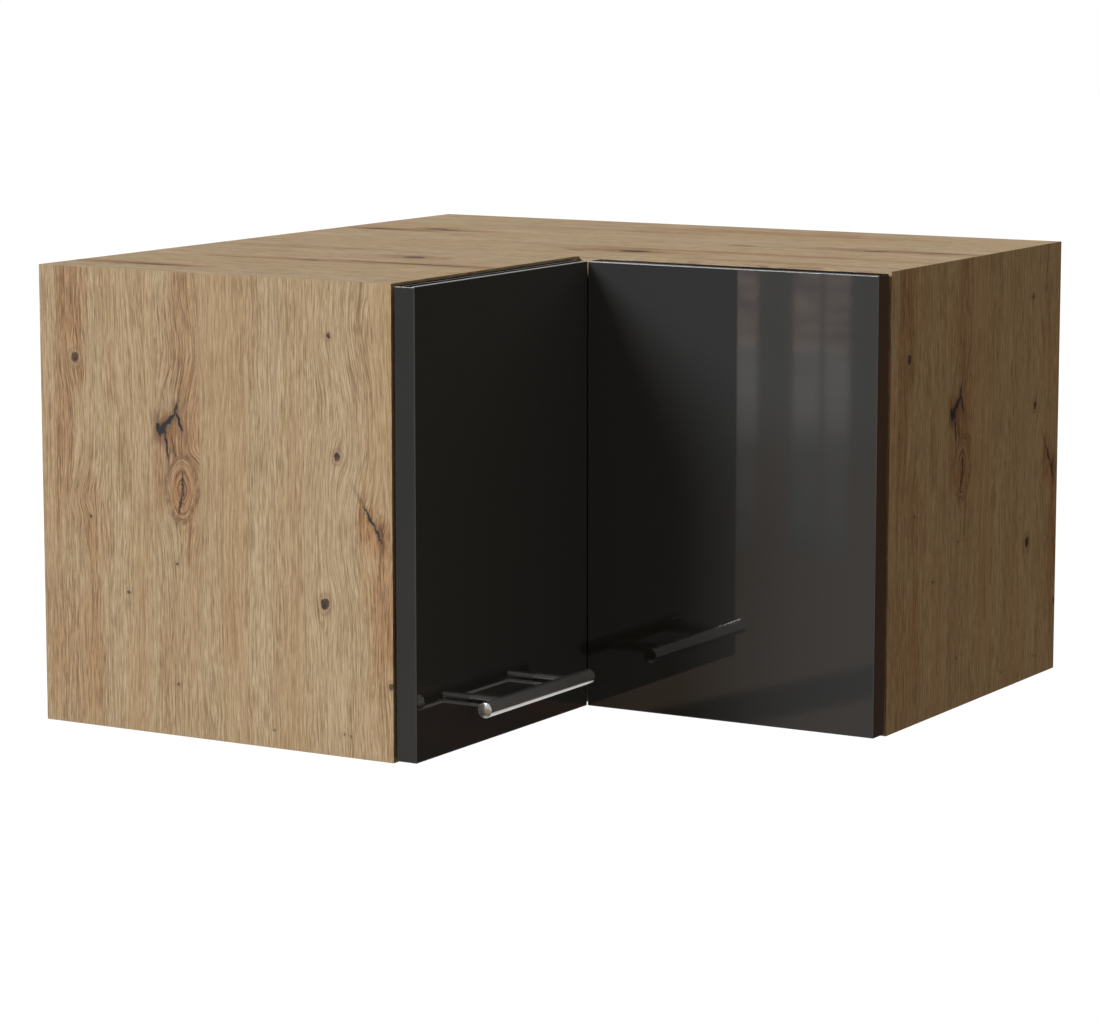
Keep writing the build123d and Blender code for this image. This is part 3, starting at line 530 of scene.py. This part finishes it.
# Roughness of the gloss, and what the specks, the edges and the back add to it
GLOSS_ROUGH, SPECK_ROUGH, EDGE_ROUGH, BACK_ROUGH = 0.022, 0.012, 0.10, 0.34
LACQUER_INDEX, LEAF_SPECULAR = 1.48, 0.5
PEEL_SPECK, PEEL_RELIEF = 0.10, (0.02, 0.0001)


def gloss_leaf(slot, node, front_axis, front_sign, highlight_fading):
    """High-gloss lacquered front, satin edges, matt foil behind.

    The upper edge is painted black as a painted dark reflection and has no reflection of its own;
    its pale rim and line are painted highlight, fading along the other level axis: the fade given
    is (from, to, strength there and there).
    """
    t, shader = fresh(slot)
    place = t.coordinates()
    normal = t.parts(t.coordinates("Normal"))
    facing = t.times(normal[front_axis], front_sign)
    back = t.step(facing, *LEAF_BACK)
    front = t.step(facing, *LEAF_FRONT)
    top = t.step(normal[2], *LEAF_TOP)
    low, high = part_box(node)
    face = high[front_axis] if front_sign > 0 else low[front_axis]
    depth = t.minus(face * front_sign, t.times(t.parts(place)[front_axis], front_sign))
    rim = t.step(depth, RIM_HIGHLIGHT_DEPTH + RIM_HIGHLIGHT_SOFT, RIM_HIGHLIGHT_DEPTH)
    highlight_line = t.step(t.absolute(t.minus(depth, HIGHLIGHT_LINE_DEPTH)), HIGHLIGHT_LINE_OUTER, HIGHLIGHT_LINE_INNER)
    rim = t.times(top, t.math("MAXIMUM", rim, highlight_line))
    highlight_strength = t.step(t.parts(place)[1 - front_axis], *highlight_fading)
    flow = t.noise(place, *FLOW)
    speck = t.noise(place, *SPECK)
    color = t.mix(back, t.mix(flow, *LACQUER), t.mix(t.step(speck, *BROAD_SPREAD), *FOIL))
    # The upper edge painted black: painted dark reflection
    color = t.mix(top, color, TOP_DARK_REFLECTION)
    # Painted highlight: a pale rim and line along the front of the upper edge, fading along it
    color = t.mix(t.times(rim, highlight_strength), color, t.mix(flow, *RIM_HIGHLIGHT_TONES))
    rough = t.line(speck, SPECK_ROUGH, GLOSS_ROUGH)
    rough = t.line(t.minus(1.0, front), EDGE_ROUGH, rough)
    rough = t.line(back, BACK_ROUGH, rough)
    peel = t.line(speck, PEEL_SPECK, t.noise(place, *PEEL))
    # The upper edge gets no reflection of its own, so its painted black stays dark
    dress(t, shader, color, rough, t.bump(peel, *PEEL_RELIEF), IOR=LACQUER_INDEX,
          Specular_IOR_Level=t.line(top, -LEAF_SPECULAR, LEAF_SPECULAR))


# Each leaf's fade is that of its painted highlight rim and line
gloss_leaf("left_leaf_gloss", "left_door_leaf", 0, 1.0, highlight_fading=(-0.3, 0.0, 1.0, 1.0))
gloss_leaf("right_leaf_gloss", "right_door_leaf", 1, -1.0, highlight_fading=(0.06, 0.20, 0.60, 0.25))


# ---- metal ----------------------------------------------------------------------------
CLOUD = (90.0, 3.0, 0.6)
CLOUD_SHARE = 0.6        # of the cloudy wear in a metal's tone; the rest is its drawn lines
METAL_LINES, METAL_DEPTH = (3.0, 0.6), 0.0002
LINE_ROUGH = 0.14        # what the drawn lines add to a metal's roughness
BAR_ACROSS, BAR_ALONG = 900.0, 18.0      # how close the handle's drawn lines lie each way
BAR_DARK, BAR_LIGHT = (0.42, 0.41, 0.395), (0.52, 0.51, 0.495)
BAR_METALLIC, BAR_ROUGH, BAR_LINE_ROUGH, BAR_LINE_DEPTH = 0.82, 0.14, 0.10, 0.00001
BAR_ENDS = (0.90, 0.98)  # of the normal's part along the bar, where its ends come in
BAR_DOME = 28.0          # a domed end's fall, over the squared distance from its middle


def stretched(t, stretch):
    """Object coordinates, stretched along each axis."""
    return t.vector(*(t.times(part, by) for part, by in zip(t.parts(t.coordinates()), stretch)))


def drawn(t, lines, dark, light):
    """Colour of drawn metal: its lines and cloudy wear, between two tones."""
    wear = t.blend(t.noise(t.coordinates(), *CLOUD), lines, CLOUD_SHARE)
    return t.mix(t.step(wear, *BROAD_SPREAD), dark, light)


def metal(slot, dark, light, rough, scale, stretch=(1.0, 1.0, 1.0), relief=0.05):
    """Plated or brushed metal with faint drawn lines and cloudy wear."""
    t, shader = fresh(slot)
    lines = t.noise(stretched(t, stretch), scale, *METAL_LINES)
    dress(t, shader, drawn(t, lines, dark, light), t.line(lines, LINE_ROUGH, rough),
          t.bump(lines, relief, METAL_DEPTH), Metallic=1.0)


def handle(slot, bar):
    """Drawn steel: lines along the bar, and softly domed ends."""
    t, shader = fresh(slot)
    low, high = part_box(bar)
    middle = (low + high) / 2
    x, _, z = t.parts(t.coordinates())
    lines = t.noise(stretched(t, (BAR_ACROSS, BAR_ALONG, BAR_ACROSS)), 1.0, *METAL_LINES)
    side = t.minus(x, middle.x)
    rise = t.minus(z, middle.z)
    swell = t.times(t.add(t.times(side, side), t.times(rise, rise)), -BAR_DOME)
    ends = t.step(t.absolute(t.parts(t.coordinates("Normal"))[1]), *BAR_ENDS)
    relief = t.add(t.times(lines, BAR_LINE_DEPTH), t.times(swell, ends))
    dress(t, shader, drawn(t, lines, BAR_DARK, BAR_LIGHT),
          t.line(lines, BAR_LINE_ROUGH, BAR_ROUGH), t.bump(relief, 1.0, 1.0),
          Metallic=BAR_METALLIC)


metal("hinge_steel", dark=(0.50, 0.49, 0.47), light=(0.66, 0.65, 0.62), rough=0.22,
      scale=700.0, stretch=(1.0, 1.0, 0.1))
metal("screw_steel", dark=(0.42, 0.42, 0.43), light=(0.62, 0.62, 0.63), rough=0.26,
      scale=1200.0)
metal("plated_steel", dark=(0.44, 0.44, 0.45), light=(0.60, 0.60, 0.60), rough=0.30,
      scale=1000.0)
metal("cast_zinc", dark=(0.36, 0.36, 0.37), light=(0.50, 0.50, 0.50), rough=0.42,
      scale=1500.0, relief=0.2)
handle("handle_steel", "handle_bar")


# ---- mouldings, dowels and back boards ------------------------------------------------
PLAIN_FINE, PLAIN_BROAD, PLAIN_DEPTH = (4.0, 0.65), (3.0, 0.5), 0.0003
PLAIN_COARSER = 0.06     # scale of the broad noise, as a share of the fine one's
PLAIN_SHARE, PLAIN_ROUGH = 0.6, 0.15
BACK_FIBRE, BACK_CLOUD, BACK_SHARE = (1300.0, 5.0, 0.7), (45.0, 3.0, 0.5), 0.65
BACK_BROWN = ((0.120, 0.068, 0.034), (0.235, 0.142, 0.076))
BACK_FOIL = ((0.60, 0.58, 0.54), (0.66, 0.64, 0.60))
BACK_INWARD = (0.6, 0.9)
BACK_ROUGHNESS, FOIL_POLISH, BACK_RELIEF = 0.82, -0.30, (0.12, 0.0004)


def plain(slot, dark, light, scale, rough, relief, stretch=(1.0, 1.0, 1.0)):
    """Mouldings, dowels and soft dots: two close tones in a fine grain."""
    t, shader = fresh(slot)
    place = stretched(t, stretch)
    fine = t.noise(place, scale, *PLAIN_FINE)
    broad = t.noise(place, scale * PLAIN_COARSER, *PLAIN_BROAD)
    color = t.mix(t.step(t.blend(fine, broad, PLAIN_SHARE), *MID_SPREAD), dark, light)
    dress(t, shader, color, t.line(fine, PLAIN_ROUGH, rough), t.bump(fine, relief, PLAIN_DEPTH))


def hardboard(slot):
    """Thin hardboard: brown fibres on the wall side, pale foil towards the inside."""
    t, shader = fresh(slot)
    place = t.coordinates()
    nx, ny, _ = t.parts(t.coordinates("Normal"))
    inward = t.step(t.minus(nx, ny), *BACK_INWARD)
    fibre = t.noise(place, *BACK_FIBRE)
    tone = t.blend(fibre, t.noise(place, *BACK_CLOUD), BACK_SHARE)
    brown = t.mix(t.step(tone, *FINE_SPREAD), *BACK_BROWN)
    foil = t.mix(t.step(tone, *BROAD_SPREAD), *BACK_FOIL)
    dress(t, shader, t.mix(inward, brown, foil), t.line(inward, FOIL_POLISH, BACK_ROUGHNESS),
          t.bump(fibre, *BACK_RELIEF))


plain("white_plastic", dark=(0.74, 0.74, 0.72), light=(0.80, 0.80, 0.78), scale=1600.0,
      rough=0.38, relief=0.05)
plain("beech", dark=(0.52, 0.34, 0.18), light=(0.66, 0.46, 0.27), scale=900.0,
      rough=0.60, relief=0.15, stretch=(1.0, 0.1, 1.0))
plain("bumper_rubber", dark=(0.62, 0.62, 0.60), light=(0.70, 0.70, 0.68), scale=900.0,
      rough=0.45, relief=0.05)
hardboard("back_board")


# ---- the room as the gloss shows it ---------------------------------------------------
# All places are metres. On the floor the gloss sees: a bright disc under the cabinet, dark
# round it and behind, with brown boards far behind; in front a warm floor, which begins at a
# slanting line on the left, is crossed by a dark strip, shines on the right and turns grey
# far out.
WHITE = (1.0, 1.0, 1.0)
FLOOR_LEVEL, FLOOR_SIDE = -0.5, 40.0
BRIGHT_UNDER, DARK_FROM = 0.8, 1.05
FRONT, FRONT_SOFT = -1.2, 0.3
LEFT_END, LEFT_SLANT, LEFT_SOFT = 0.0, 0.5486, 0.12
SHINE_AT, SHINE_SLANT, SHINE_SOFT = 1.07, 0.2, 0.25
STRIP_ACROSS, STRIP_PLACE = (0.967, 0.253), -1.523
STRIP_HALF, STRIP_SOFT, STRIP_DIMMING = 0.08, 0.02, -0.92
BOARDS_FROM, BOARDS_FULL, BOARD_WIDTH, BOARD_JOINT = 1.2, 3.2, 0.25, (-0.6, 0.6)
GREY_FROM, GREY_FULL = -4.4, -5.6
WARM_FLOOR, WARM_CLOUD = ((0.34, 0.24, 0.17), (0.52, 0.40, 0.30)), (0.9, 3.0, 0.6)
BOARD_BROWNS = ((0.105, 0.042, 0.024), (0.175, 0.068, 0.036))
DARK_FLOOR, FAR_GREY, SHINE = (0.07, 0.06, 0.06), (0.46, 0.44, 0.39), (1.0, 0.96, 0.90)

# The floor to the eye and to soft light
FLOOR_GLOW = 1.08
SHADOW_WHITE, SHADOW_SHARE = (0.9, 0.9, 0.9), 0.16
FLOOR_MATT = (0.20, 0.16, 0.105)

# Three window panes far in front: the left and right edge of each, their foot and top, how
# far out they stand, and where warm rows above give way to grey below; a fade is (from, to,
# strength there and there), upwards
PANES = ((-1.380, -1.340), (-1.275, -1.226), (-1.219, -1.173))
PANE_FOOT, PANE_TOP, PANE_DEPTH = -0.40, 0.40, -3.0
PANE_SPLIT = (-0.08, -0.055)
PANE_GREY, PANE_WARM = (0.88, 0.85, 0.78), (1.0, 0.78, 0.68)
ROWS_ACROSS, ROWS_UP, ROWS_NOISE = 9.0, 42.0, (1.0, 2.0, 0.6)
ROWS_STRENGTH, ROWS_STRONGER = 0.7, 1.5
PANE_FADE, PANE_FOOT_FADE = (-0.25, -0.13, 0.60, 1.50), (PANE_FOOT, -0.30, 0.78, 1.0)

# The world: its light on the object, and how bright it looks in the gloss, both as (from, to,
# strength there and there) from front to back
ROOM_TINT, ROOM_LIGHT = (1.0, 0.80, 0.52), (-0.4, 0.4, 0.16, 0.45)
ROOM_IN_GLOSS = (-0.2, 0.5, 1.0, 0.15)


def plain_view(t):
    """1 for the rays that show the background: the eye's, and those off metal or glass."""
    rays = t.add(t.ray("Is Camera Ray"), t.ray("Is Glossy Ray"))
    return t.math("ADD", rays, t.ray("Is Transmission Ray"), clamp=True)


def stage_material(name):
    material = bpy.data.materials.new(name)
    material.use_nodes = True
    material.node_tree.nodes.clear()
    return material, Tree(material.node_tree)


def staged(name, size, place, material):
    """A flat stage piece, lying on its back, of the given width and depth."""
    bpy.ops.mesh.primitive_plane_add(size=1.0, location=place)
    plane = bpy.context.object
    plane.name = name
    plane.scale = (*size, 1.0)
    plane.data.materials.append(material)
    return plane


def floor_in_gloss(t):
    """Colour of the floor's zones, as described above their sizes."""
    x, y, _ = t.position()
    in_front = t.step(y, FRONT, FRONT - FRONT_SOFT)
    slanting = t.minus(x, t.times(y, LEFT_SLANT))
    ahead = t.times(in_front, t.step(slanting, LEFT_END - LEFT_SOFT, LEFT_END + LEFT_SOFT))
    offset = t.add(t.times(x, STRIP_ACROSS[0]), t.times(y, STRIP_ACROSS[1]), -STRIP_PLACE)
    strip = t.step(t.absolute(offset), STRIP_HALF + STRIP_SOFT, STRIP_HALF - STRIP_SOFT)
    ahead = t.times(ahead, t.line(strip, STRIP_DIMMING, 1.0))
    right = t.minus(x, t.times(y, SHINE_SLANT))
    shining = t.times(t.step(right, SHINE_AT - SHINE_SOFT, SHINE_AT), in_front)
    away = t.math("SQRT", t.add(t.times(x, x), t.times(y, y)))
    warm = t.mix(t.noise(t.vector(x, y), *WARM_CLOUD), *WARM_FLOOR)
    warm = t.mix(t.step(y, GREY_FROM, GREY_FULL), warm, FAR_GREY)
    wave = t.math("SINE", t.times(y, 2.0 * math.pi / BOARD_WIDTH))
    boards = t.mix(t.step(wave, *BOARD_JOINT), *BOARD_BROWNS)
    behind = t.mix(t.step(y, BOARDS_FROM, BOARDS_FULL), DARK_FLOOR, boards)
    room = t.mix(ahead, behind, warm)
    room = t.mix(shining, room, SHINE)
    return t.mix(t.step(away, DARK_FROM, BRIGHT_UNDER), room, WHITE)


def floor():
    """Pale floor below the hung cabinet: white to the eye, but for the cabinet's shadow."""
    material, t = stage_material("floor")
    eye = t.ray("Is Camera Ray")
    glow = t.shader("ShaderNodeEmission", Color=t.mix(eye, floor_in_gloss(t), WHITE),
                    Strength=FLOOR_GLOW)
    shadow = t.shader("ShaderNodeBsdfDiffuse", Color=SHADOW_WHITE)
    seen = t.either(t.line(eye, -SHADOW_SHARE, 1.0), shadow, glow)
    matt = t.shader("ShaderNodeBsdfDiffuse", Color=FLOOR_MATT)
    t.show(t.either(plain_view(t), matt, seen))
    staged("floor", (FLOOR_SIDE, FLOOR_SIDE), (0.0, 0.0, FLOOR_LEVEL), material)


def windows():
    """Upright glowing cards that only the gloss shows; they light nothing."""
    material, t = stage_material("window")
    x, _, z = t.position()
    above = t.step(z, *PANE_SPLIT)
    rows = t.noise(t.vector(t.times(x, ROWS_ACROSS), 0.0, t.times(z, ROWS_UP)), *ROWS_NOISE)
    rows = t.line(t.minus(rows, 0.5), t.line(above, ROWS_STRONGER, ROWS_STRENGTH), 1.0)
    fade = t.times(t.step(z, *PANE_FOOT_FADE), t.step(z, *PANE_FADE))
    t.show(t.shader("ShaderNodeEmission", Color=t.mix(above, PANE_GREY, PANE_WARM),
                    Strength=t.times(fade, rows)))
    for left, right in PANES:
        middle = ((left + right) / 2, PANE_DEPTH, (PANE_FOOT + PANE_TOP) / 2)
        card = staged("window", (right - left, PANE_TOP - PANE_FOOT), middle, material)
        card.rotation_euler = (math.radians(90.0), 0.0, 0.0)
        card.visible_camera = False
        card.visible_diffuse = False
        card.visible_shadow = False


def sky():
    """Soft, warm room light; white behind the object."""
    world = bpy.data.worlds.new("room")
    bpy.context.scene.world = world
    world.use_nodes = True
    t = Tree(world.node_tree)
    t.nodes.clear()
    y = t.parts(t.coordinates("Generated"))[1]
    light = t.shader("ShaderNodeBackground", Color=ROOM_TINT, Strength=t.step(y, *ROOM_LIGHT))
    view = t.math("MAXIMUM", t.step(y, *ROOM_IN_GLOSS), t.ray("Is Camera Ray"))
    white = t.shader("ShaderNodeBackground", Color=WHITE, Strength=view)
    t.show(t.either(plain_view(t), light, white), "ShaderNodeOutputWorld")


# ---- lamps and camera -----------------------------------------------------------------
SENSOR_WIDTH, FOCAL_LENGTH = 36.0, 127.41        # millimetres
CAMERA_PLACE = (1.57473, -2.69693, 0.62536)
CAMERA_RIGHT = Vector((0.861330, 0.508046, -0.000210))
CAMERA_DOWN = Vector((0.076426, -0.129980, -0.988567))
CAMERA_AHEAD = Vector((-0.502265, 0.851466, -0.150784))
CAMERA_NEAR, CAMERA_FAR = 0.05, 60.0


def sun(name, strength, softness, tint, towards):
    """A distant lamp that stands in the direction towards, its disc softness degrees wide."""
    data = bpy.data.lights.new(name, "SUN")
    data.energy = strength
    data.angle = math.radians(softness)
    data.color = tint
    lamp = bpy.data.objects.new(name, data)
    lamp.rotation_euler = Vector(towards).to_track_quat("Z", "Y").to_euler()
    bpy.context.collection.objects.link(lamp)


def lights():
    """A broad soft light from the front left, and a weak cool one from overhead."""
    sun("key", strength=3.30, softness=24.0, tint=(1.0, 0.985, 0.96), towards=(-0.46, -0.78, 0.50))
    sun("overhead", strength=0.64, softness=50.0, tint=(0.81, 1.0, 1.26), towards=(0.0, 0.1, 1.0))


def camera():
    """The photograph's own view, solved from the cabinet's straight edges."""
    data = bpy.data.cameras.new("camera")
    data.sensor_fit = "HORIZONTAL"
    data.sensor_width = SENSOR_WIDTH
    data.lens = FOCAL_LENGTH
    data.clip_start = CAMERA_NEAR
    data.clip_end = CAMERA_FAR
    obj = bpy.data.objects.new("camera", data)
    turn = Matrix((CAMERA_RIGHT, -CAMERA_DOWN, -CAMERA_AHEAD)).transposed().to_4x4()
    obj.matrix_world = Matrix.Translation(CAMERA_PLACE) @ turn
    bpy.context.collection.objects.link(obj)
    bpy.context.scene.camera = obj


floor()
windows()
sky()
lights()
camera()
bpy.context.scene.view_settings.view_transform = "Standard"
